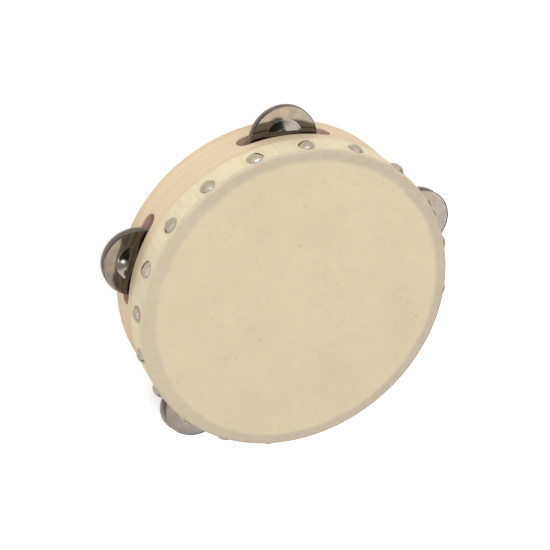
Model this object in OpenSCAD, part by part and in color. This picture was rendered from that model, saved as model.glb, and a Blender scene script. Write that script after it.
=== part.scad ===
// Headed tambourine: a bent wooden hoop with a tacked skin head and five slots,
// each holding a pair of dished jingles that slide loosely on a steel pin.
// The origin is the centre of the open rim, and +Z points along the axis to the head.

/* [Hoop] */
// Outer diameter of the wooden hoop
hoop_d = 203.2; // [190:0.1:220]
// Height of the wooden hoop, from the open rim to the bearing edge
hoop_h = 51.4; // [48:0.1:56]
// Thickness of the hoop's wall
wall_t = 6.5; // [5.5:0.1:8]
// Radius of the eased edges of the open rim
rim_ease_r = 0.8; // [0.4:0.1:1.2]
// Radius of the bearing edge that the skin turns over
bearing_r = 1.5; // [1:0.1:2]

/* [Jingle slots] */
// Length of each slot, along the hoop
slot_l = 60.4; // [56:0.1:64]
// Height of each slot, along the drum's axis
slot_h = 11.2; // [11:0.1:12]
// Height of the slots' centre above the open rim
slot_z = 19.4; // [19.3:0.1:21]

/* [Skin head] */
// Thickness of the skin
skin_t = 0.6; // [0.4:0.05:0.9]
// Length of the skirt that turns down over the hoop, from the head's face
skirt_l = 17.5; // [13:0.1:22]
// Thickness of the glue film between skin and wood
glue_t = 0.05; // [0.05:0.01:0.1]

/* [Tacks] */
// Number of tacks
tacks = 20; // [16:1:24]
// Angle of the first tack, if the tacks were evenly spaced
tack_angle = 12.8; // [10:0.1:16]
// How far the tacks wander from even spacing, in degrees: they are knocked in by eye
tack_drift = 3.6; // [0:0.1:4]
// Diameter of a tack's domed head
tack_head_d = 10.5; // [8:0.1:11]
// Height of a tack's dome
tack_dome_h = 2.8; // [2:0.1:3.2]
// Distance of the tacks' centres below the head's face
tack_drop = 6.4; // [6:0.1:9]
// Diameter of a tack's shank
tack_shank_d = 1.5; // [1:0.1:2]
// Length of a tack's shank, with its point
tack_shank_l = 6.3; // [4:0.1:6.5]

/* [Jingles] */
// Outer diameter of a jingle
jingle_d = 43.2; // [40:0.1:46]
// Thickness of the sheet metal
jingle_t = 0.6; // [0.4:0.05:0.8]
// Overall height of a jingle, from its rim's plane to its crown
jingle_h = 2.3; // [2:0.1:2.4]
// Diameter of the central cup, where it meets the flange
cup_d = 26.4; // [20:0.1:28]
// Diameter of the hole for the pin
jingle_hole_d = 5; // [4:0.1:5.6]
// Height of the front jingle's rim plane above the open rim, at rest
front_rim_z = 22.5; // [21:0.1:22.5]
// Height of the rear jingle's rim plane above the open rim, at rest
rear_rim_z = 18.7; // [16.5:0.1:20]

/* [Pins] */
// Diameter of a pin's shank
pin_d = 2.2; // [1.8:0.1:2.6]
// Diameter of a pin's flat head
pin_head_d = 4.4; // [4:0.1:5]
// Thickness of a pin's head
pin_head_t = 0.9; // [0.6:0.1:1.2]
// Depth at which a pin's head sits below the open rim
pin_sink = 0.2; // [0.1:0.05:0.4]
// Length that a pin reaches into the wood above its slot
pin_bite = 11; // [8:0.5:14]

/* [Hidden] */

// Number of slots round the hoop, one for each numbered pin and pair of jingles
stations = 5;

wood = "#dcc4a0";
skin = "#e2d3ac";
nickel = "#b5ada4";
steel = "#8f8a86";

ro = hoop_d / 2;
ri = ro - wall_t;
r_mid = (ro + ri) / 2;
slot_top = slot_z + slot_h / 2;
pin_top = slot_top + pin_bite;
head_z = hoop_h + glue_t + skin_t;
tack_z = head_z - tack_drop;
r_skin = ro + glue_t + skin_t;
fit_gap = 0.02;
hole_over = 0.4;
round_fn = 96;
fine_fn = 48;
corner_steps = 6;

// Points of an arc from angle a0 to a1, ends included
function arc(c, r, a0, a1, n) = [
    for (i = [0:n]) let (a = a0 + (a1 - a0) * i / n) c + r * [cos(a), sin(a)]
];

// Outline of a slot: a bar with round ends, centred on the origin
function slot_outline(l, h, n = 14) = concat(
    arc([(l - h) / 2, 0], h / 2, -90, 90, n),
    arc([-(l - h) / 2, 0], h / 2, 90, 270, n)
);

// Angle of slot k, counted from 0
function station_angle(k) = k * 360 / stations;

// Height of the jingle's underside above its rim plane at radius r: a nearly flat flange,
// a short fillet, and a bowl that is highest at the pin hole and as steep as the fillet
flange_rise = 0.15;
fillet = 1.2;
hole_r = jingle_hole_d / 2;
bowl_r = cup_d / 2 - fillet;
bowl_span = bowl_r * bowl_r - hole_r * hole_r;
cup_depth = jingle_h - jingle_t - flange_rise;
bend = fillet * bowl_r / bowl_span;
fillet_rise = cup_depth * bend / (1 + bend);
function jingle_rise(r) =
    r >= cup_d / 2 ? flange_rise * (1 - pow((r - cup_d / 2) / (jingle_d / 2 - cup_d / 2), 2))
    : r >= bowl_r ? flange_rise + fillet_rise * pow((cup_d / 2 - r) / fillet, 2)
    : jingle_h - jingle_t - (cup_depth - fillet_rise) * (r * r - hole_r * hole_r) / bowl_span;

// A jingle with its rim in the plane z = 0 and its crown towards +Z
module jingle() {
    rs = concat(
        [for (i = [0:9]) hole_r + (bowl_r - hole_r) * i / 10],
        [for (i = [0:5]) bowl_r + fillet * i / 6],
        [for (i = [0:9]) cup_d / 2 + (jingle_d - cup_d) / 2 * i / 9]
    );
    last = len(rs) - 1;
    rotate_extrude($fn = round_fn)
        polygon(concat(
            [for (i = [0:last]) [rs[i], jingle_rise(rs[i])]],
            [for (i = [last:-1:0]) [rs[i], jingle_rise(rs[i]) + jingle_t]]
        ));
}

// Moves its children to the pin of slot k
module at_pin(k) {
    rotate([0, 0, station_angle(k)])
        translate([r_mid, 0, 0])
            children();
}

// Angle of tack k, counted from 0
function tack_place(k) =
    let (even = tack_angle + k * 360 / tacks)
    even + tack_drift * (sin(even + 17) - 0.25 * sin(2 * even));

// A bar along the radius through tack k, from radius r0 to r1
module tack_bar(k, d, r0, r1) {
    rotate([0, 0, tack_place(k)])
        translate([r0, 0, tack_z])
            rotate([0, 90, 0])
                cylinder(d = d, h = r1 - r0, $fn = fine_fn);
}

module frame_hoop() {
    outline = concat(
        arc([ri + rim_ease_r, rim_ease_r], rim_ease_r, 180, 270, corner_steps),
        arc([ro - rim_ease_r, rim_ease_r], rim_ease_r, 270, 360, corner_steps),
        arc([ro - bearing_r, hoop_h - bearing_r], bearing_r, 0, 90, corner_steps),
        arc([ri + rim_ease_r, hoop_h - rim_ease_r], rim_ease_r, 90, 180, corner_steps)
    );
    color(wood)
        difference() {
            rotate_extrude($fn = round_fn * 2) polygon(outline);
            for (k = [0:stations - 1]) {
                rotate([0, 0, station_angle(k)])
                    translate([ri - wall_t, 0, slot_z])
                        rotate([90, 0, 90])
                            linear_extrude(3 * wall_t)
                                polygon(slot_outline(slot_l, slot_h));
                at_pin(k) {
                    translate([0, 0, -1])
                        cylinder(d = pin_d + 2 * fit_gap, h = pin_top + hole_over + 1, $fn = fine_fn);
                    translate([0, 0, -1])
                        cylinder(d = pin_head_d + 2 * fit_gap, h = 1 + pin_sink + pin_head_t + fit_gap, $fn = fine_fn);
                }
            }
            for (k = [0:tacks - 1])
                tack_bar(k, tack_shank_d + 2 * fit_gap, r_skin - tack_shank_l - hole_over, ro + 1);
        }
}

module drum_head() {
    edge_r = bearing_r + glue_t;
    c = [ro - bearing_r, hoop_h - bearing_r];
    outline = concat(
        [[0, hoop_h + glue_t]],
        arc(c, edge_r, 90, 0, corner_steps),
        [[ro + glue_t, head_z - skirt_l], [r_skin, head_z - skirt_l]],
        arc(c, edge_r + skin_t, 0, 90, corner_steps),
        [[0, head_z]]
    );
    color(skin)
        difference() {
            rotate_extrude($fn = round_fn * 2) polygon(outline);
            for (k = [0:tacks - 1])
                tack_bar(k, tack_shank_d + 2 * fit_gap, ro - 1, r_skin + 1);
        }
}

// One tack pointing inwards along -X, with its head's seat in the plane x = 0
module tack() {
    ball_r = (pow(tack_head_d / 2, 2) + pow(tack_dome_h, 2)) / (2 * tack_dome_h);
    point_l = 2;
    rotate([0, 90, 0]) {
        intersection() {
            translate([0, 0, tack_dome_h - ball_r])
                sphere(r = ball_r, $fn = round_fn);
            cylinder(d = tack_head_d + 1, h = tack_dome_h + 1, $fn = fine_fn);
        }
        rotate([180, 0, 0]) {
            cylinder(d = tack_shank_d, h = tack_shank_l - point_l, $fn = fine_fn);
            translate([0, 0, tack_shank_l - point_l])
                cylinder(d1 = tack_shank_d, d2 = 0.3, h = point_l, $fn = fine_fn);
        }
    }
}

module head_tacks() {
    color(nickel)
        for (k = [0:tacks - 1])
            rotate([0, 0, tack_place(k)])
                translate([r_skin + fit_gap, 0, tack_z])
                    tack();
}

module jingle_pin(k) {
    point_l = 3;
    color(steel)
        at_pin(k) {
            translate([0, 0, pin_sink])
                cylinder(d = pin_head_d, h = pin_head_t, $fn = fine_fn);
            translate([0, 0, pin_sink])
                cylinder(d = pin_d, h = pin_top - point_l - pin_sink, $fn = fine_fn);
            translate([0, 0, pin_top - point_l])
                cylinder(d1 = pin_d, d2 = 0.5, h = point_l, $fn = fine_fn);
        }
}

// The jingle nearer the head, crown to the head
module jingle_front(k) {
    color(nickel)
        at_pin(k)
            translate([0, 0, front_rim_z])
                jingle();
}

// The jingle nearer the open rim, crown to the open rim
module jingle_rear(k) {
    color(nickel)
        at_pin(k)
            translate([0, 0, rear_rim_z])
                mirror([0, 0, 1])
                    jingle();
}

frame_hoop();
drum_head();
head_tacks();
for (k = [0:stations - 1]) {
    jingle_pin(k);
    jingle_front(k);
    jingle_rear(k);
}
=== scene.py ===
"""Looks for the headed tambourine: sanded wooden hoop, skin head, dome tacks, pins and pressed jingles.

Everything is in metres, in the part's own frame: the origin is the centre of the open rim and +Z points to
the head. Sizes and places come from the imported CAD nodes; what a box can't tell is named below.
"""

import math
import random

import bmesh
import bpy
import numpy as np
from mathutils import Matrix, Vector, noise


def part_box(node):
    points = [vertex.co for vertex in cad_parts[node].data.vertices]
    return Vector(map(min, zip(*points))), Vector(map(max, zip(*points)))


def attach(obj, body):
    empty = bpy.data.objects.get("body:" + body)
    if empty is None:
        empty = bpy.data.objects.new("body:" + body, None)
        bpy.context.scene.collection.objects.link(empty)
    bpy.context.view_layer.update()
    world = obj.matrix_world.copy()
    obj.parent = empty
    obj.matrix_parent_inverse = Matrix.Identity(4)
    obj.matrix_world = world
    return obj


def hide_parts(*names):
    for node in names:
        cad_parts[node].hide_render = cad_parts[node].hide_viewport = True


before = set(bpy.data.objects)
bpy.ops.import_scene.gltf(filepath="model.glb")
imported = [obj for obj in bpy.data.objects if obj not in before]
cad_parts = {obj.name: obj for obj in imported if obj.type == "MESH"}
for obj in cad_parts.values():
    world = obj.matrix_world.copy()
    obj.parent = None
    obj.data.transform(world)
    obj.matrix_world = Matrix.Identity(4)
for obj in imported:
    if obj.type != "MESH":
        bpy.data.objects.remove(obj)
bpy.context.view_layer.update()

MM = 0.001
TAU = 2 * math.pi
STATIONS = 5

# Hoop
RIM_EASE = 0.8 * MM
BEARING_RADIUS = 1.5 * MM
SLOT_LENGTH = 60.4 * MM
SLOT_HEIGHT = 11.2 * MM
SLOT_Z = 19.4 * MM
SLOT_EDGE = 0.35 * MM
LAP_ANGLE_DEG = 252

# Skin
SKIN_THICKNESS = 0.6 * MM
GLUE = 0.05 * MM
SKIN_SEGMENTS = 900
SKIRT_ROWS = 18
SKIN_SAG = 0.14 * MM
SKIN_RIPPLE = 0.04 * MM
BORDER_WIDE_DEG = 160  # where round the drum the skin is glued further in
BORDER_WIDER = 2.2 * MM  # how much further in, there

# Tacks
TACK_DOME = 2.75 * MM
TACK_DENT = 0.22 * MM
TACK_TILT_DEG = 2.5
TACK_SHANK_RADIUS = 0.75 * MM
TACK_LOWER = 0.9 * MM  # how much lower the tacks of the far side sit

# Pins
PIN_RADIUS = 1.1 * MM
PIN_HEAD = 0.9 * MM
PIN_POINT = 3 * MM

# Jingles
SHEET = 0.6 * MM
CUP_RADIUS = 13.2 * MM
PIN_HOLE_RADIUS = 2.5 * MM
FLANGE_RISE = 0.15 * MM
FILLET = 1.2 * MM
HANG_DEG = 205  # the way most jingles have slid over on their pins
HANG_OTHERS = {("front", 1): 285, ("front", 4): 300}
HANG = 1.3 * MM
JINGLE_DENT = 0.05 * MM
# Degrees that a jingle is tipped outwards and along the hoop
LEANS = {
    ("front", 1): (-2.2, 0),
    ("front", 2): (2.4, -0.4),
    ("rear", 3): (0.8, -0.6),
    ("front", 4): (-2.2, 0),
}

# Camera, as the photographer held it: angles round the drum in degrees, distances in metres,
# and the lens and its sensor's width in millimetres
CAMERA_AZIMUTH = 108.0
CAMERA_ELEVATION = 55.2
CAMERA_ROLL = -140.0
CAMERA_DISTANCE = 0.937
CAMERA_AIM = Vector((-0.0031, 0.0093, 0.026))
CAMERA_LENS = 97.5
CAMERA_SENSOR = 36
FAR_SIDE = CAMERA_AZIMUTH + 180


# ---------------------------------------------------------------- sizes from the CAD frame


def round_size(node):
    """(centre, radius) of an upright round node, from its box."""
    low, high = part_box(node)
    return (low + high) / 2, (high.x - low.x) / 2


_, hoop_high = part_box("frame_hoop")
head_low, head_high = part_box("drum_head")
HOOP_RADIUS = round_size("frame_hoop")[1]
HOOP_HEIGHT = hoop_high.z
HEAD_TOP = head_high.z
SKIRT_Z = head_low.z
SKIN_RADIUS = round_size("drum_head")[1]
tacks_low, tacks_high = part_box("head_tacks")
TACK_Z = (tacks_low.z + tacks_high.z) / 2
TACK_HEAD_RADIUS = (tacks_high.z - tacks_low.z) / 2
PIN_CENTRES = [round_size(f"jingle_pin_{k + 1}")[0] for k in range(STATIONS)]
PIN_CIRCLE = Vector(PIN_CENTRES[0].xy).length
WALL = 2 * (HOOP_RADIUS - PIN_CIRCLE)
INNER_RADIUS = HOOP_RADIUS - WALL


def tack_places():
    """Angles of the tacks, which aren't quite even, from the CAD tacks' own points."""
    points = np.array([v.co[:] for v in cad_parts["head_tacks"].data.vertices])
    heads = points[np.hypot(points[:, 0], points[:, 1]) > SKIN_RADIUS + 1 * MM]
    angles = np.sort(np.arctan2(heads[:, 1], heads[:, 0]) % TAU)
    first = int(np.argmax(np.diff(angles))) + 1
    angles = np.concatenate([angles[first:], angles[:first] + TAU])
    groups = np.split(angles, np.flatnonzero(np.diff(angles) > math.radians(5)) + 1)
    return [float((group.min() + group.max()) / 2) for group in groups]


TACK_ANGLES = tack_places()


def polar(radius, angle, z=0.0):
    return Vector((radius * math.cos(angle), radius * math.sin(angle), z))


def smooth(t):
    """Smooth step of t, held between 0 and 1."""
    t = min(max(t, 0.0), 1.0)
    return t * t * (3 - 2 * t)


def arc(centre, radius, start_deg, end_deg, steps):
    """Points of an arc in a profile plane, ends included."""
    angles = [math.radians(start_deg + (end_deg - start_deg) * i / steps) for i in range(steps + 1)]
    return [(centre[0] + radius * math.cos(a), centre[1] + radius * math.sin(a)) for a in angles]


# ---------------------------------------------------------------- mesh helpers


def new_object(name, mesh):
    obj = bpy.data.objects.new(name, mesh)
    bpy.context.scene.collection.objects.link(obj)
    return obj


def shade_smooth(mesh):
    mesh.polygons.foreach_set("use_smooth", [True] * len(mesh.polygons))
    mesh.update()


def mesh_of(name, points, faces):
    mesh = bpy.data.meshes.new(name)
    mesh.from_pydata([tuple(p) for p in points], [], faces)
    shade_smooth(mesh)
    return mesh


def grid_faces(rows, columns, first, wrap_rows=False, wrap_columns=False):
    """Quads of a grid of points laid out row by row from index first."""
    faces = []
    for i in range(rows if wrap_rows else rows - 1):
        for j in range(columns if wrap_columns else columns - 1):
            a, b = i * columns, ((i + 1) % rows) * columns
            k = (j + 1) % columns
            faces.append((first + a + j, first + b + j, first + b + k, first + a + k))
    return faces


def lathe(name, profile, segments, place=None, closed=True):
    """Turns (radius, height) points round Z. place(radius, height, angle, index) may move each point."""
    points = []
    for i, (radius, height) in enumerate(profile):
        for j in range(segments):
            angle = TAU * j / segments
            r, z = place(radius, height, angle, i) if place else (radius, height)
            points.append(polar(r, angle, z))
    faces = grid_faces(len(profile), segments, 0, wrap_rows=closed, wrap_columns=True)
    if not closed:
        last = (len(profile) - 1) * segments
        faces.append(tuple(range(segments)))
        faces.append(tuple(last + j for j in reversed(range(segments))))
    return mesh_of(name, points, faces)


def facing_out(mesh):
    """Turns every face of a closed mesh outwards."""
    bm = bmesh.new()
    bm.from_mesh(mesh)
    bmesh.ops.recalc_face_normals(bm, faces=bm.faces)
    bm.to_mesh(mesh)
    bm.free()
    return mesh


# ---------------------------------------------------------------- shader helpers


class Shader:
    """Adds nodes to one tree. An input is a socket to link, or a value to set."""

    def __init__(self, tree):
        self.tree = tree
        tree.nodes.clear()

    def add(self, kind, output=0, settings=None, **inputs):
        node = self.tree.nodes.new(kind)
        for key, value in (settings or {}).items():
            setattr(node, key, value)
        for key, value in inputs.items():
            name = key.replace("_", " ")
            socket = node.inputs[int(key[1:])] if key[1:].isdigit() else node.inputs[name]
            self.feed(socket, value)
        return node.outputs[output]

    def feed(self, socket, value):
        if isinstance(value, bpy.types.NodeSocket):
            self.tree.links.new(value, socket)
        else:
            socket.default_value = value

    def math(self, operation, a, b=0.0):
        return self.add("ShaderNodeMath", settings={"operation": operation}, i0=a, i1=b)

    def hypot(self, x, y):
        return self.math("SQRT", self.math("ADD", self.math("MULTIPLY", x, x), self.math("MULTIPLY", y, y)))

    def towards(self, x, y, turn):
        """How far the point (x, y) lies along the direction at angle turn."""
        part_x = self.math("MULTIPLY", x, math.cos(turn))
        return self.math("ADD", part_x, self.math("MULTIPLY", y, math.sin(turn)))

    def scaled(self, vector, factors):
        return self.add("ShaderNodeVectorMath", settings={"operation": "MULTIPLY"}, i0=vector, i1=factors)

    def vector(self, x, y, z):
        return self.add("ShaderNodeCombineXYZ", X=x, Y=y, Z=z)

    def split(self, vector):
        node = self.tree.nodes.new("ShaderNodeSeparateXYZ")
        self.feed(node.inputs[0], vector)
        return node.outputs

    def noise(self, vector, scale, detail=4.0, roughness=0.5, distortion=0.0):
        return self.add(
            "ShaderNodeTexNoise", Vector=vector, Scale=scale, Detail=detail,
            Roughness=roughness, Distortion=distortion,
        )

    def ramp(self, factor, low, high):
        """0 where factor is low, 1 where it is high."""
        return self.add(
            "ShaderNodeMapRange", settings={"interpolation_type": "SMOOTHSTEP"},
            Value=factor, From_Min=low, From_Max=high,
        )

    def mix(self, factor, a, b):
        """Colour a where factor is 0, b where it is 1."""
        node = self.tree.nodes.new("ShaderNodeMix")
        node.data_type = "RGBA"
        for socket, value in zip((node.inputs[0], node.inputs[6], node.inputs[7]), (factor, a, b)):
            self.feed(socket, value)
        return node.outputs[2]

    def bump(self, height, strength, distance):
        return self.add("ShaderNodeBump", Height=height, Strength=strength, Distance=distance)

    def surface(self, **inputs):
        shader = self.add("ShaderNodeBsdfPrincipled", **inputs)
        self.add_output(shader)

    def add_output(self, shader, kind="ShaderNodeOutputMaterial"):
        node = self.tree.nodes.new(kind)
        self.tree.links.new(shader, node.inputs[0])

    def object_position(self):
        return self.add("ShaderNodeTexCoord", output=3)

    def camera_ray(self):
        """1 for the rays that the camera sends out."""
        return self.add("ShaderNodeLightPath", output=0)

    def mirrored_ray(self):
        """1 for the rays that a polished surface sends out."""
        return self.add("ShaderNodeLightPath", output=3)

    def attribute(self, name):
        return self.add("ShaderNodeAttribute", output=2, settings={"attribute_name": name})


def colour(red, green, blue):
    """A colour given as it looks on screen, 0 to 255, for a shader."""
    def linear(value):
        value /= 255
        return value / 12.92 if value <= 0.04045 else ((value + 0.055) / 1.055) ** 2.4
    return (linear(red), linear(green), linear(blue), 1.0)


def new_material(name):
    material = bpy.data.materials.new(name)
    material.use_nodes = True
    return material, Shader(material.node_tree)


def round_coordinates(s, turn_deg=0.0):
    """(length along the circumference, height, radius) of a point, as one vector socket and its parts."""
    x, y, z = s.split(s.object_position())
    turn = math.radians(turn_deg)
    across = s.towards(x, y, turn + math.pi / 2)
    angle = s.math("ARCTAN2", across, s.towards(x, y, turn))
    radius = s.hypot(x, y)
    length = s.math("MULTIPLY", angle, HOOP_RADIUS)
    return s.vector(length, z, radius), length, z, radius


def place_cosine(s, azimuth_deg):
    """Cosine of the angle, seen from above, between a point of the drum and an azimuth."""
    x, y, _ = s.split(s.object_position())
    along = s.towards(x, y, math.radians(azimuth_deg))
    return s.math("DIVIDE", along, s.math("MAXIMUM", s.hypot(x, y), MM))


# ---------------------------------------------------------------- materials


def wood_material():
    """Pale sanded hardwood whose grain runs round the hoop, with scorched slot walls and a glued lap."""
    material, s = new_material("hoop_wood")
    # the seam of the lap is where the angle jumps, on the far side of its zero
    place, length, _, _ = round_coordinates(s, LAP_ANGLE_DEG - 180)
    fibres = s.noise(s.scaled(place, (18, 420, 420)), 1.0, detail=6, roughness=0.62, distortion=0.4)
    bands = s.noise(s.scaled(place, (5, 70, 70)), 1.0, detail=3, roughness=0.5, distortion=0.8)
    flecks = s.ramp(s.noise(s.scaled(place, (160, 1500, 1500)), 1.0, detail=2), 0.66, 0.78)

    base = s.mix(s.ramp(bands, 0.3, 0.7), colour(217, 197, 165), colour(207, 185, 153))
    base = s.mix(s.math("MULTIPLY", s.ramp(fibres, 0.38, 0.68), 0.35), base, colour(201, 173, 139))
    base = s.mix(s.math("MULTIPLY", flecks, 0.3), base, colour(165, 128, 96))

    char = s.noise(place, 900, detail=5, roughness=0.7)
    burnt = s.mix(s.ramp(char, 0.3, 0.7), colour(186, 152, 140), colour(222, 192, 180))
    scorch = s.attribute("scorch")
    uneven = s.math("ADD", scorch, s.math("MULTIPLY", s.math("SUBTRACT", char, 0.5), 0.35))
    base = s.mix(s.ramp(uneven, 0.35, 0.75), base, burnt)

    half_turn = math.pi * HOOP_RADIUS
    to_seam = s.math("SUBTRACT", half_turn, s.math("ABSOLUTE", length))
    seam = s.ramp(to_seam, 0.25 * MM, 0.1 * MM)
    base = s.mix(s.math("MULTIPLY", seam, 0.7), base, colour(120, 92, 62))

    charred = s.math("MULTIPLY", char, s.math("MULTIPLY", scorch, 0.8))
    height = s.math("ADD", s.math("MULTIPLY", fibres, 0.7), charred)
    height = s.math("SUBTRACT", height, s.math("MULTIPLY", seam, 0.8))
    rough = s.math("ADD", 0.5, s.math("MULTIPLY", fibres, 0.2))
    s.surface(
        Base_Color=base, Roughness=rough, Specular_IOR_Level=0.35,
        Normal=s.bump(height, 0.35, 0.25 * MM),
    )
    return material


def skin_material():
    """Dry drum skin: warm and mottled over the hollow, greyer where it is glued, lighter on the skirt."""
    material, s = new_material("drum_skin")
    place, _, z, radius = round_coordinates(s)
    position = s.object_position()
    cloud = s.noise(position, 28, detail=5, roughness=0.6)
    mottle = s.noise(position, 190, detail=4, roughness=0.62)
    pores = s.noise(position, 2600, detail=2, roughness=0.6)
    speck = s.ramp(s.noise(position, 380, detail=1, roughness=0.4), 0.735, 0.78)

    face = s.mix(s.ramp(cloud, 0.3, 0.7), colour(228, 210, 177), colour(223, 205, 172))
    face = s.mix(s.math("MULTIPLY", s.ramp(mottle, 0.4, 0.7), 0.16), face, colour(209, 190, 156))
    face = s.mix(s.math("MULTIPLY", speck, 0.3), face, colour(170, 146, 112))

    wander = s.math("SUBTRACT", s.noise(position, 60, detail=2), 0.5)
    edge = s.math("ADD", radius, s.math("MULTIPLY", wander, 1.6 * MM))
    wide = s.ramp(place_cosine(s, BORDER_WIDE_DEG), 0.35, 0.95)
    edge = s.math("ADD", edge, s.math("MULTIPLY", wide, BORDER_WIDER))
    border = s.ramp(edge, INNER_RADIUS - 2.2 * MM, INNER_RADIUS + 1.4 * MM)
    glued = s.mix(s.ramp(mottle, 0.35, 0.7), colour(201, 185, 164), colour(193, 177, 157))
    fade = s.math("SUBTRACT", 0.8, s.math("MULTIPLY", wide, 0.3))
    face = s.mix(s.math("MULTIPLY", border, fade), face, glued)

    streaks = s.noise(s.scaled(place, (420, 40, 40)), 1.0, detail=4, roughness=0.6)
    skirt = s.mix(s.ramp(streaks, 0.35, 0.7), colour(219, 205, 173), colour(210, 194, 161))
    on_skirt = s.ramp(z, HEAD_TOP - 0.8 * MM, HEAD_TOP - 2.2 * MM)
    base = s.mix(on_skirt, face, skirt)

    grain = s.math("ADD", s.math("MULTIPLY", mottle, 0.5), s.math("MULTIPLY", pores, 0.5))
    grain = s.math("ADD", grain, s.math("MULTIPLY", s.math("MULTIPLY", streaks, on_skirt), 0.7))
    rough = s.math("ADD", 0.48, s.math("MULTIPLY", mottle, 0.18))
    s.surface(
        Base_Color=base, Roughness=rough, Specular_IOR_Level=0.3,
        Normal=s.bump(grain, 0.25, 0.12 * MM),
    )
    return material


def nickel_material(name, tint, dark_tint, roughness, rings=0, dull_inside=None):
    """Bright nickel plate. rings is the number of fine turning rings per metre, or 0 for none.

    dull_inside is the tint of the unpolished hollow side, whose normals point to the mesh's own -Z.
    """
    material, s = new_material(name)
    position = s.object_position()
    haze = s.noise(position, 160, detail=5, roughness=0.6)
    specks = s.ramp(s.noise(position, 900, detail=2), 0.68, 0.8)
    base = s.mix(s.ramp(haze, 0.35, 0.7), tint, dark_tint)
    base = s.mix(s.math("MULTIPLY", specks, 0.18), base, colour(96, 84, 74))
    if rings:
        x, y, _ = s.split(position)
        ring_place = s.vector(s.math("MULTIPLY", s.hypot(x, y), rings), 0.0, 0.0)
        lines = s.noise(ring_place, 1.0, detail=3, roughness=0.7)
    else:
        lines = s.noise(position, 1400, detail=3, roughness=0.6)
    rough = s.math("ADD", roughness, s.math("MULTIPLY", haze, 0.08))
    rough = s.math("ADD", rough, s.math("MULTIPLY", lines, 0.06))
    height = s.math("ADD", s.math("MULTIPLY", lines, 0.4), s.math("MULTIPLY", haze, 0.6))
    normal = s.bump(height, 0.12, 0.08 * MM)
    if dull_inside is None:
        s.surface(Base_Color=base, Metallic=1.0, Roughness=rough, Normal=normal)
        return material
    _, _, facing = s.split(s.add("ShaderNodeTexCoord", output=1))
    inside = s.ramp(facing, -0.3, -0.6)
    base = s.mix(inside, base, dull_inside)
    rough = s.math("ADD", rough, s.math("MULTIPLY", inside, 0.35))
    metallic = s.math("SUBTRACT", 1.0, s.math("MULTIPLY", inside, 0.6))
    s.surface(Base_Color=base, Metallic=metallic, Roughness=rough, Normal=normal)
    return material


def steel_material():
    """Drawn steel wire with faint lengthwise marks and a little tarnish."""
    material, s = new_material("pin_steel")
    position = s.object_position()
    drawn = s.noise(s.scaled(position, (2600, 2600, 120)), 1.0, detail=3, roughness=0.6)
    tarnish = s.noise(position, 420, detail=4, roughness=0.6)
    base = s.mix(s.ramp(tarnish, 0.4, 0.7), colour(168, 163, 157), colour(126, 114, 102))
    rough = s.math("ADD", 0.26, s.math("MULTIPLY", tarnish, 0.2))
    s.surface(Base_Color=base, Metallic=1.0, Roughness=rough, Normal=s.bump(drawn, 0.15, 0.05 * MM))
    return material


# ---------------------------------------------------------------- hoop

WALL_ROWS = 12
SLOT_COLUMNS = 40
POST_COLUMNS = 26
SLOT_RINGS = 6
SLOT_CELL_HALF = math.asin(SLOT_LENGTH / 2 / HOOP_RADIUS) + math.radians(3.4)


def slot_loop(grow):
    """(sideways, up) points round a slot grown by grow, from its centre; straight, end, straight, end."""
    radius = SLOT_HEIGHT / 2 + grow
    half = (SLOT_LENGTH - SLOT_HEIGHT) / 2
    top = [(half * (2 * i / SLOT_COLUMNS - 1), radius) for i in range(SLOT_COLUMNS)]
    right = [(half + radius * math.sin(math.pi * i / WALL_ROWS), radius * math.cos(math.pi * i / WALL_ROWS))
             for i in range(WALL_ROWS)]
    return top + right + [(-side, -up) for side, up in top + right]


def cell_loop(low, high):
    """(angle, height) points round a slot's cell of the wall, matched to slot_loop one by one."""
    a = SLOT_CELL_HALF
    top = [(a * (2 * i / SLOT_COLUMNS - 1), high) for i in range(SLOT_COLUMNS)]
    right = [(a, high + (low - high) * i / WALL_ROWS) for i in range(WALL_ROWS)]
    bottom = [(-a * (2 * i / SLOT_COLUMNS - 1), low) for i in range(SLOT_COLUMNS)]
    left = [(-a, low + (high - low) * i / WALL_ROWS) for i in range(WALL_ROWS)]
    return top + right + bottom + left


def slot_mouth(radius, inward):
    """Loops of points over a slot's rounded mouth at a wall face, from the face into the slot."""
    loops = []
    for step in range(4):
        turn = math.radians(30 * step)
        points = []
        for side, up in slot_loop(SLOT_EDGE * (1 - math.sin(turn))):
            depth = SLOT_EDGE * (1 - math.cos(turn)) * inward
            points.append(Vector((math.sqrt(radius ** 2 - side ** 2) - depth, side, SLOT_Z + up)))
        loops.append(points)
    return loops


def add_patch(bm, rows, wrap):
    """Adds a grid of points to bm; wrap closes each row into a loop."""
    made = [[bm.verts.new(p) for p in row] for row in rows]
    for i in range(len(rows) - 1):
        count = len(rows[i])
        for j in range(count if wrap else count - 1):
            k = (j + 1) % count
            bm.faces.new((made[i][j], made[i + 1][j], made[i + 1][k], made[i][k]))


def turned(rows, angle):
    turn = Matrix.Rotation(angle, 3, "Z")
    return [[turn @ p for p in row] for row in rows]


def wall_face(radius, low, high, inward):
    """Patches of one wall face round one slot: the cell with the slot in it, and the plain post beside it."""
    mouth = slot_mouth(radius, inward)
    inner = [(math.atan2(p.y, p.x), p.z) for p in mouth[0]]
    outer = cell_loop(low, high)
    cell = []
    for ring in range(SLOT_RINGS + 1):
        t = (ring / SLOT_RINGS) ** 1.3
        cell.append([polar(radius, a + (b - a) * t, z + (w - z) * t) for (a, z), (b, w) in zip(inner, outer)])
    post = []
    for i in range(WALL_ROWS + 1):
        z = high + (low - high) * i / WALL_ROWS
        post.append([polar(radius, a, z) for a in post_angles()])
    return mouth, cell, post


def post_angles():
    start, end = SLOT_CELL_HALF, TAU / STATIONS - SLOT_CELL_HALF
    return [start + (end - start) * i / POST_COLUMNS for i in range(POST_COLUMNS + 1)]


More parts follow.
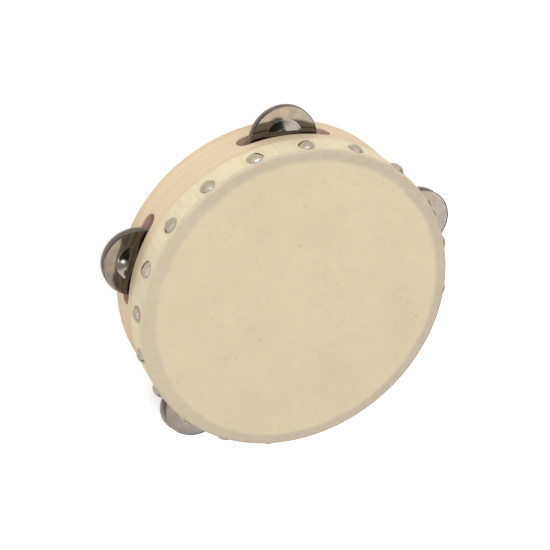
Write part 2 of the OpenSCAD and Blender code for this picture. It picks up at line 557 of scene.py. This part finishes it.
def ring_angles():
    """Angles of the columns of one fifth of the hoop, matched to the wall faces."""
    cell = [SLOT_CELL_HALF * (2 * i / SLOT_COLUMNS - 1) for i in range(SLOT_COLUMNS)]
    return cell + post_angles()


def slot_sdf(side, up):
    """Distance of a point from a slot's outline, negative inside the slot."""
    half = (SLOT_LENGTH - SLOT_HEIGHT) / 2
    return math.hypot(max(abs(side) - half, 0.0), up) - SLOT_HEIGHT / 2


def mark_scorch(mesh):
    """Stores how burnt each point is: the slot walls fully, fading just outside their edges."""
    scorch = mesh.attributes.new("scorch", "FLOAT", "POINT")
    values = []
    for vertex in mesh.vertices:
        angle = math.atan2(vertex.co.y, vertex.co.x)
        station = round(angle / (TAU / STATIONS)) * TAU / STATIONS
        local = Matrix.Rotation(-station, 3, "Z") @ vertex.co
        distance = slot_sdf(local.y, local.z - SLOT_Z)
        values.append(1 - smooth((distance - 0.1 * MM) / (0.5 * MM)))
    scorch.data.foreach_set("value", values)


def cut_pin_seats(hoop):
    """Cuts the shallow seats of the pins' heads into the open rim."""
    clearance, depth = 0.03 * MM, 1.1 * MM
    for k, centre in enumerate(PIN_CENTRES):
        low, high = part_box(f"jingle_pin_{k + 1}")
        radius = (high.x - low.x) / 2 + clearance
        plug = lathe("cutter", [(radius, -1 * MM), (radius, depth)], 48, closed=False)
        seat = new_object("cutter", facing_out(plug))
        seat.location = (centre.x, centre.y, 0)
        cut = hoop.modifiers.new("seat", "BOOLEAN")
        cut.object = seat
        cut.operation = "DIFFERENCE"
        cut.solver = "EXACT"
        bpy.context.view_layer.update()
        graph = bpy.context.evaluated_depsgraph_get()
        finished = bpy.data.meshes.new_from_object(hoop.evaluated_get(graph))
        hoop.modifiers.clear()
        hoop.data = finished
        bpy.data.objects.remove(seat)


def build_hoop(material):
    bm = bmesh.new()
    outer_high = HOOP_HEIGHT - BEARING_RADIUS
    inner_high = HOOP_HEIGHT - RIM_EASE
    bottom = (arc((HOOP_RADIUS - RIM_EASE, RIM_EASE), RIM_EASE, 0, -90, 4)
              + arc((INNER_RADIUS + RIM_EASE, RIM_EASE), RIM_EASE, -90, -180, 4))
    top = (arc((INNER_RADIUS + RIM_EASE, inner_high), RIM_EASE, 180, 90, 4)
           + arc((HOOP_RADIUS - BEARING_RADIUS, outer_high), BEARING_RADIUS, 90, 0, 5))
    outer_mouth, outer_cell, outer_post = wall_face(HOOP_RADIUS, RIM_EASE, outer_high, 1)
    inner_mouth, inner_cell, inner_post = wall_face(INNER_RADIUS, RIM_EASE, inner_high, -1)
    start, end = outer_mouth[-1], inner_mouth[-1]
    through = [[a.lerp(b, i / 4) for a, b in zip(start, end)] for i in range(1, 4)]
    tunnel = outer_mouth + through + inner_mouth[::-1]
    rims = [[[polar(r, a, z) for a in ring_angles()] for r, z in edge] for edge in (bottom, top)]
    for k in range(STATIONS):
        angle = TAU * k / STATIONS
        for rows in (outer_cell, inner_cell, tunnel):
            add_patch(bm, turned(rows, angle), wrap=True)
        for rows in (outer_post, inner_post, *rims):
            add_patch(bm, turned(rows, angle), wrap=False)
    bmesh.ops.remove_doubles(bm, verts=bm.verts, dist=2e-6)
    bmesh.ops.recalc_face_normals(bm, faces=bm.faces)
    mesh = bpy.data.meshes.new("wooden_hoop")
    bm.to_mesh(mesh)
    bm.free()
    hoop = new_object("wooden_hoop", mesh)
    cut_pin_seats(hoop)
    shade_smooth(hoop.data)
    mark_scorch(hoop.data)
    hoop.modifiers.new("crisp_faces", "WEIGHTED_NORMAL")
    hoop.data.materials.clear()
    hoop.data.materials.append(material)
    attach(hoop, "frame")
    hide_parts("frame_hoop")


# ---------------------------------------------------------------- skin head


def to_nearest_tack(angle):
    """Distance along the hoop to the nearest tack's centre, as a share of half the tack spacing."""
    turns = [(angle - tack) / TAU for tack in TACK_ANGLES]
    return min(abs(turn - round(turn)) for turn in turns) * 2 * len(TACK_ANGLES)


def skin_profile():
    """(radius, height, how far down the skirt from 0 to 1) round the skin's section, outside first."""
    bend = (HOOP_RADIUS - BEARING_RADIUS, HOOP_HEIGHT - BEARING_RADIUS)
    inner_bend, outer_bend = BEARING_RADIUS + GLUE, BEARING_RADIUS + GLUE + SKIN_THICKNESS
    inside, outside = HOOP_RADIUS + GLUE, HOOP_RADIUS + GLUE + SKIN_THICKNESS
    under = HEAD_TOP - SKIN_THICKNESS
    flat = [0.5 * MM] + [bend[0] * t for t in (0.1, 0.2, 0.3, 0.4, 0.5, 0.6, 0.7, 0.78, 0.85, 0.9)]
    flat += [bend[0] * (0.9 + 0.1 * i / 16) for i in range(1, 16)]

    def down(radius):
        shares = [i / SKIRT_ROWS for i in range(1, SKIRT_ROWS + 1)]
        return [(radius, bend[1] + (SKIRT_Z - bend[1]) * share, share) for share in shares]

    outer = [(r, HEAD_TOP, 0.0) for r in flat]
    outer += [(r, z, 0.0) for r, z in arc(bend, outer_bend, 90, 0, 8)] + down(outside)
    inner = [(r, under, 0.0) for r in flat]
    inner += [(r, z, 0.0) for r, z in arc(bend, inner_bend, 90, 0, 8)] + down(inside)
    middle = ((inside + outside) / 2, SKIRT_Z - 0.12 * MM, 1.0)
    return outer + [middle] + inner[::-1]


def skin_place(profile):
    """How the skin lies: taut and a hair hollow over the drum, gathered in small pleats down the skirt."""
    def place(radius, height, angle, index):
        down = profile[index][2]
        around = Vector((math.cos(angle), math.sin(angle), 0))
        if radius < HOOP_RADIUS - BEARING_RADIUS:
            sag = SKIN_SAG * (1 - smooth((radius - 0.9 * INNER_RADIUS) / (0.115 * INNER_RADIUS)))
            ripple = SKIN_RIPPLE * noise.noise(around * radius * 45)
            return radius, height - sag + min(ripple, 0.0) * (radius < INNER_RADIUS)
        free = to_nearest_tack(angle)
        pleat = 0.5 + 0.5 * noise.noise(around * 26 + Vector((0, 0, height * 14)))
        fine = 0.5 + 0.5 * noise.noise(around * 85 + Vector((0, 0, height * 40)))
        lift = (0.16 * pleat + 0.1 * fine + 0.12 * smooth(free)) * MM * smooth(down * 2.2)
        trim = (0.55 * noise.noise(around * 5.5) + 0.22 * noise.noise(around * 24)) * MM
        return radius + lift, height + trim * down ** 3
    return place


def build_skin(material):
    profile = skin_profile()
    mesh = lathe(
        "drum_skin", [(r, z) for r, z, _ in profile], SKIN_SEGMENTS, skin_place(profile), closed=False)
    head = new_object("drum_skin", facing_out(mesh))
    head.data.materials.append(material)
    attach(head, "frame")
    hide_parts("drum_head")


# ---------------------------------------------------------------- tacks and pins


def tack_profile(dome_height):
    """A hollow-backed dome head with a thin turned edge, and its shank, as (radius, height)."""
    r = TACK_HEAD_RADIUS
    ball = (r ** 2 + dome_height ** 2) / (2 * dome_height)
    start = math.degrees(math.asin(r / ball))
    dome = arc((0, dome_height - ball), ball, 90, 90 - start * 0.965, 14)
    dome[0] = (0.06 * MM, dome[0][1])
    rim = [(r, 0.16 * MM), (r - 0.06 * MM, 0.02 * MM), (r - 0.4 * MM, 0.04 * MM)]
    under = [(r - 1.2 * MM, 0.35 * MM), (TACK_SHANK_RADIUS, 0.6 * MM)]
    shank = [(TACK_SHANK_RADIUS, 0.0), (TACK_SHANK_RADIUS, -4.2 * MM), (0.15 * MM, -6.1 * MM)]
    return dome + rim + under + shank


def build_tacks(material):
    """The tacks as one piece: each is a separate closed shell, knocked in by hand, so none is square."""
    dice = random.Random(20)
    seat = SKIN_RADIUS + 0.05 * MM
    one = facing_out(lathe("tack", tack_profile(TACK_DOME), 40, closed=False))
    bm = bmesh.new()
    for angle in TACK_ANGLES:
        low = TACK_LOWER * smooth(3 * math.cos(angle - math.radians(FAR_SIDE)) - 1.8)
        tilt = Matrix.Rotation(dice.uniform(-TACK_TILT_DEG, TACK_TILT_DEG) * TAU / 360, 4, "X")
        tilt = tilt @ Matrix.Rotation(dice.uniform(-TACK_TILT_DEG, TACK_TILT_DEG) * TAU / 360, 4, "Y")
        spin = Matrix.Rotation(dice.uniform(0, TAU), 4, "Z")
        lay = Matrix.Rotation(angle, 4, "Z") @ Matrix.Rotation(math.pi / 2, 4, "Y")
        foot = polar(seat + dice.uniform(0, 0.08) * MM, angle, TACK_Z - low)
        place = Matrix.Translation(foot) @ lay @ tilt @ spin
        copy = one.copy()
        seed = Vector((dice.uniform(0, 90), dice.uniform(0, 90), 0))
        for vertex in copy.vertices:
            if vertex.co.z > 0.1 * MM:
                vertex.co.z += TACK_DENT * noise.noise(seed + vertex.co * 330)
        copy.transform(place)
        bm.from_mesh(copy)
        bpy.data.meshes.remove(copy)
    mesh = bpy.data.meshes.new("dome_tacks")
    bm.to_mesh(mesh)
    bm.free()
    shade_smooth(mesh)
    tacks = new_object("dome_tacks", mesh)
    tacks.data.materials.append(material)
    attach(tacks, "frame")
    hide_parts("head_tacks")


def build_pin(k, material):
    """A wire pin with a flat nail head, from the open rim through slot k into the wood above it."""
    low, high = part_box(f"jingle_pin_{k + 1}")
    centre = PIN_CENTRES[k]
    head_radius = (high.x - low.x) / 2
    length = high.z - low.z
    profile = [(0.05 * MM, 0.02 * MM), (head_radius - 0.25 * MM, 0.0), (head_radius - 0.05 * MM, 0.08 * MM)]
    profile += [(head_radius, 0.3 * MM), (head_radius, PIN_HEAD)]
    profile += [(PIN_RADIUS + 0.1 * MM, PIN_HEAD), (PIN_RADIUS, PIN_HEAD + 0.15 * MM)]
    profile += [(PIN_RADIUS, length * t) for t in (0.3, 0.5, 0.7)]
    profile += [(PIN_RADIUS, length - PIN_POINT), (0.3 * MM, length)]
    pin = new_object(f"pin_{k + 1}", facing_out(lathe("pin", profile, 32, closed=False)))
    pin.location = (centre.x, centre.y, low.z)
    pin.data.materials.append(material)
    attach(pin, "frame")
    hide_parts(f"jingle_pin_{k + 1}")


# ---------------------------------------------------------------- jingles


def jingle_rise(radius, outer_radius, height):
    """Height of the underside above the rim's plane: a nearly flat flange, a fillet, then a bowl."""
    if radius >= CUP_RADIUS:
        return FLANGE_RISE * (1 - ((radius - CUP_RADIUS) / (outer_radius - CUP_RADIUS)) ** 2)
    bowl, depth = CUP_RADIUS - FILLET, height - SHEET - FLANGE_RISE
    span = bowl ** 2 - PIN_HOLE_RADIUS ** 2
    bend = FILLET * bowl / span
    fillet_rise = depth * bend / (1 + bend)
    if radius >= bowl:
        return FLANGE_RISE + fillet_rise * ((CUP_RADIUS - radius) / FILLET) ** 2
    return height - SHEET - (depth - fillet_rise) * (radius ** 2 - PIN_HOLE_RADIUS ** 2) / span


def jingle_profile(outer_radius, height):
    """Section of a jingle, crown up, as (radius, height) points round the sheet."""
    bowl = CUP_RADIUS - FILLET
    edge = 0.2 * MM  # rounding of the outer edge
    lip = 0.12 * MM  # rounding of the hole's edge
    radii = [PIN_HOLE_RADIUS + lip + (bowl - PIN_HOLE_RADIUS) * i / 12 for i in range(12)]
    radii += [bowl + FILLET * i / 8 for i in range(8)]
    radii += [CUP_RADIUS + (outer_radius - edge - CUP_RADIUS) * i / 12 for i in range(13)]
    under = [(r, jingle_rise(r, outer_radius, height)) for r in radii]
    over = [(r, z + SHEET) for r, z in under]
    rim = [(outer_radius, edge), (outer_radius, SHEET - edge)]
    hole = [(PIN_HOLE_RADIUS, over[0][1] - lip), (PIN_HOLE_RADIUS, under[0][1] + lip)]
    return under + rim + over[::-1] + hole


def build_jingle(row, k, material, dice):
    """One jingle. row is front (crown to the head) or rear (crown to the open rim)."""
    node = f"jingle_{row}_{k + 1}"
    low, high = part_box(node)
    centre, outer_radius = (low + high) / 2, max(high.x - low.x, high.y - low.y) / 2
    seed = Vector((dice.uniform(0, 90), dice.uniform(0, 90), 0))

    def place(radius, height, angle, index):
        dent = noise.noise(seed + polar(radius, angle) * 60)
        return radius, height + JINGLE_DENT * dent * smooth(radius / CUP_RADIUS - 0.4)

    mesh = facing_out(lathe(node, jingle_profile(outer_radius, high.z - low.z), 144, place))
    disc = new_object(f"jingle_disc_{row}_{k + 1}", mesh)
    spin = Matrix.Rotation(dice.randrange(4) * TAU / 4, 4, "Z")
    upright = Matrix.Identity(4) if row == "front" else Matrix.Rotation(math.pi, 4, "X")
    rim_z = low.z if row == "front" else high.z
    slid = HANG_OTHERS.get((row, k + 1), HANG_DEG)
    hang = polar(HANG, math.radians(slid + dice.uniform(-14, 14)), rim_z)
    outwards, along = LEANS.get((row, k + 1), (dice.uniform(-0.4, 0.4), 0))
    station = Matrix.Rotation(TAU * k / STATIONS, 4, "Z")
    tip = Matrix.Rotation(math.radians(outwards), 4, "Y") @ Matrix.Rotation(-math.radians(along), 4, "X")
    lean = station @ tip @ station.inverted()
    seat = Matrix.Translation((centre.x, centre.y, 0)) @ Matrix.Translation(hang)
    disc.matrix_world = seat @ lean @ upright @ spin
    disc.data.materials.append(material)
    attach(disc, f"{row}_jingle_{k + 1}")
    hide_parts(node)


# ---------------------------------------------------------------- stage, light, camera

WORLD_STRENGTH = 0.72
FLOOR_HALF = 3.0
FLOOR_GLOW = 0.5
MIRROR_GAIN = 0.65  # how much more than the rest polished surfaces get of the studio's light

FLOOR_WHITE = (0.9, 0.9, 0.9, 1)
FLOOR_MIRRORED = (0.97, 0.91, 0.82, 1)
STUDIO_WHITE = (0.98, 0.99, 1.0, 1)
STUDIO_WARM = (1.0, 0.9, 0.74, 1)
STUDIO_DARK = (0.06, 0.075, 0.065, 1)

# Lit and dark patches of the studio: azimuth and elevation, then, in degrees from there, how far it is
# full and where it is gone; a lit patch's strength comes last
LIT_PANEL = (316, 58, 6, 28, 1.65)
MIRRORED_PANELS = ((255, 47, 11, 15, 1.3), (238, 69, 0.7, 2.8, 9))
DARK_SIDE = (FAR_SIDE, 0, 70, 86)
DARK_SIDE_TOP = (42, 50)  # elevations between which the dark side ends
MIRRORED_DARK_CAP = (FAR_SIDE, 89, 18, 23)
MIRRORED_WARM_PATCH = (FAR_SIDE, 68, 10, 16)


def build_floor():
    """A plain white floor that the open rim rests on, lit a little from below like a light table.

    Reflections see it warmer and without its own light.
    """
    corners = [(-1, -1), (1, -1), (1, 1), (-1, 1)]
    mesh = mesh_of("floor", [(FLOOR_HALF * x, FLOOR_HALF * y, 0) for x, y in corners], [(0, 1, 2, 3)])
    floor = new_object("floor", mesh)
    floor.location.z = -0.02 * MM
    material, s = new_material("floor_white")
    mirrored = s.mirrored_ray()
    shade = s.mix(mirrored, FLOOR_WHITE, FLOOR_MIRRORED)
    glow = s.math("MULTIPLY", s.math("SUBTRACT", 1.0, mirrored), FLOOR_GLOW)
    s.surface(
        Base_Color=shade, Roughness=0.9, Specular_IOR_Level=0.1,
        Emission_Color=(1, 1, 1, 1), Emission_Strength=glow,
    )
    floor.data.materials.append(material)


def direction(azimuth_deg, elevation_deg):
    azimuth, elevation = math.radians(azimuth_deg), math.radians(elevation_deg)
    return polar(math.cos(elevation), azimuth, math.sin(elevation))


def build_world():
    """A plain white studio, with a lit panel high behind the drum and its far side left dark below it.

    The camera itself sees neither. The smaller lit panels, the dark cap overhead and the warm patch are
    there only for what the polished metal mirrors.
    """
    world = bpy.data.worlds.new("studio")
    world.use_nodes = True
    bpy.context.scene.world = world
    s = Shader(world.node_tree)
    look = s.add("ShaderNodeTexCoord", output=0)
    unseen = s.math("SUBTRACT", 1.0, s.camera_ray())
    mirrored = s.mirrored_ray()

    def patch(azimuth, elevation, full, none, rays):
        """1 within full degrees of a direction, falling to 0 at none degrees, for one kind of ray."""
        facing = s.add(
            "ShaderNodeVectorMath", output=1, settings={"operation": "DOT_PRODUCT"},
            i0=look, i1=tuple(direction(azimuth, elevation)),
        )
        shape = s.ramp(facing, math.cos(math.radians(none)), math.cos(math.radians(full)))
        return s.math("MULTIPLY", shape, rays)

    _, _, height = s.split(look)
    full_below, none_above = (math.sin(math.radians(elevation)) for elevation in DARK_SIDE_TOP)
    gap = s.math("MULTIPLY", patch(*DARK_SIDE, unseen), s.ramp(height, none_above, full_below))
    dark = s.math("MAXIMUM", gap, patch(*MIRRORED_DARK_CAP, mirrored))
    *place, extra = LIT_PANEL
    strength = s.math("ADD", WORLD_STRENGTH, s.math("MULTIPLY", patch(*place, unseen), extra))
    for *place, extra in MIRRORED_PANELS:
        lit = patch(*place, mirrored)
        dark = s.math("MULTIPLY", dark, s.math("SUBTRACT", 1.0, lit))
        strength = s.math("ADD", strength, s.math("MULTIPLY", lit, extra))
    gain = s.math("ADD", 1.0, s.math("MULTIPLY", mirrored, MIRROR_GAIN))
    strength = s.math("MULTIPLY", strength, gain)
    shade = s.mix(patch(*MIRRORED_WARM_PATCH, mirrored), STUDIO_WHITE, STUDIO_WARM)
    shade = s.mix(dark, shade, STUDIO_DARK)
    light = s.add("ShaderNodeBackground", Color=shade, Strength=strength)
    s.add_output(light, "ShaderNodeOutputWorld")


def add_softbox(name, azimuth, elevation, distance, size, power, mirrored=True):
    """A square lamp aimed at the drum. Unless it is mirrored, polished surfaces don't show it."""
    data = bpy.data.lights.new(name, "AREA")
    data.shape = "SQUARE"
    data.size = size
    data.energy = power
    lamp = bpy.data.objects.new(name, data)
    lamp.visible_glossy = mirrored
    bpy.context.scene.collection.objects.link(lamp)
    back = direction(azimuth, elevation)
    lamp.location = back * distance
    lamp.rotation_euler = back.to_track_quat("Z", "Y").to_euler()


def build_camera():
    """Looks at the drum from above the head, rolled so that the head faces the lower right of the picture."""
    back = direction(CAMERA_AZIMUTH, CAMERA_ELEVATION)
    level_up = (Vector((0, 0, 1)) - back * back.z).normalized()
    side = level_up.cross(back)
    roll = math.radians(CAMERA_ROLL)
    up = level_up * math.cos(roll) + side * math.sin(roll)
    right = up.cross(back)
    data = bpy.data.cameras.new("camera")
    data.lens = CAMERA_LENS
    data.sensor_width = CAMERA_SENSOR
    data.clip_start = 0.01
    data.clip_end = 20
    camera = bpy.data.objects.new("camera", data)
    bpy.context.scene.collection.objects.link(camera)
    facing = Matrix((right, up, back)).transposed().to_4x4()
    camera.matrix_world = Matrix.Translation(CAMERA_AIM + back * CAMERA_DISTANCE) @ facing
    bpy.context.scene.camera = camera


def build_all():
    bpy.context.scene.view_settings.view_transform = "Standard"
    build_hoop(wood_material())
    build_skin(skin_material())
    build_tacks(nickel_material("tack_nickel", colour(192, 183, 171), colour(177, 166, 154), 0.08))
    jingle_metal = nickel_material(
        "jingle_nickel", colour(108, 102, 97), colour(98, 92, 86), 0.02, 2400, colour(176, 162, 156))
    pin_metal = steel_material()
    dice = random.Random(7)
    for k in range(STATIONS):
        build_pin(k, pin_metal)
        for row in ("front", "rear"):
            build_jingle(row, k, jingle_metal, dice)
    build_floor()
    build_world()
    add_softbox("key_light", 80, 42, 1.6, 0.8, 6.0)
    add_softbox("side_light", 190, 30, 1.8, 0.7, 0.8)
    add_softbox("top_light", 108, 84, 1.8, 1.2, 3, mirrored=False)
    build_camera()


build_all()
